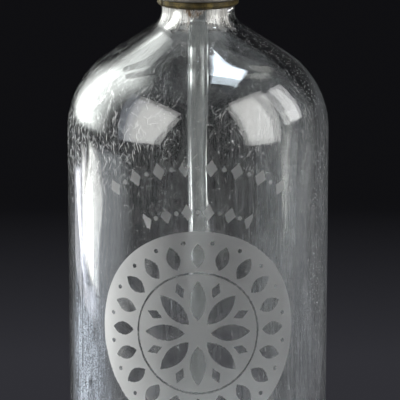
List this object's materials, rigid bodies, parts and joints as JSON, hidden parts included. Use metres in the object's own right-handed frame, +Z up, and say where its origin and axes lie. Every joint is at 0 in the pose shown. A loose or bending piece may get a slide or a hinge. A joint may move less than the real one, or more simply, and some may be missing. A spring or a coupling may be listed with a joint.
{
  "type": "soda siphon",
  "caption": "Clear glass soda siphon with a frosted roundel, a split brass collar, and a metal head whose sprung lever lifts the valve and lets soda out of a curved spout",
  "frame": {"origin": "on the bottle's axis, in the plane that its foot ring stands on", "axes": "+Z up along the bottle's axis, -X the way the spout points, +X towards the lever's tail, -Y the face with the frosted roundel"},
  "size_m": [0.1116, 0.1, 0.305],
  "materials": {
    "clear_glass": "clear soda-lime glass, lightly scuffed, with a frosted roundel and a frosted ornament on the front",
    "tube_glass": "clear drawn glass tube",
    "brass": "aged brass with an olive patina",
    "head_metal": "old nickel plate, dulled, with brass showing on the edges",
    "steel": "plain steel",
    "rubber": "aged brown-black rubber",
    "fibre": "red vulcanised fibre",
    "leather": "greased leather packing"
  },
  "bodies": {
    "root": {"bottle": "clear_glass", "dip_tube": "tube_glass", "tube_sleeve": "rubber", "tube_holder": "brass", "holder_washer": "fibre", "neck_gasket": "rubber", "collar_half_front": "brass", "collar_half_back": "brass", "collar_liner": "rubber", "head_body": "head_metal", "spout": "head_metal", "spout_tip": "head_metal", "lever_pin": "steel", "packing_washer": "leather", "packing_nut": "brass", "valve_spring": "steel", "cap_washer": "fibre", "spring_cap": "head_metal"},
    "lever": {"lever": "head_metal"},
    "piston": {"piston_stem": "brass", "valve_head": "brass", "valve_disc": "rubber"}
  },
  "joints": [
    {"name": "lever_press", "type": "hinge", "parent": "root", "child": "lever", "pos_m": [0.0125, 0, 0.2846], "axis": [0, 1, 0], "range_deg": [0, 14], "stiffness_Nm_per_rad": 0.36, "springref_deg": -57.3},
    {"name": "piston_lift", "type": "slide", "parent": "root", "child": "piston", "axis": [0, 0, 1], "range_m": [0, 0.00305], "deforming": ["valve_spring"]}
  ],
  "couplings": [
    {"joint": "lever_press", "follows": "piston_lift", "rad_per_m": 80}
  ]
}
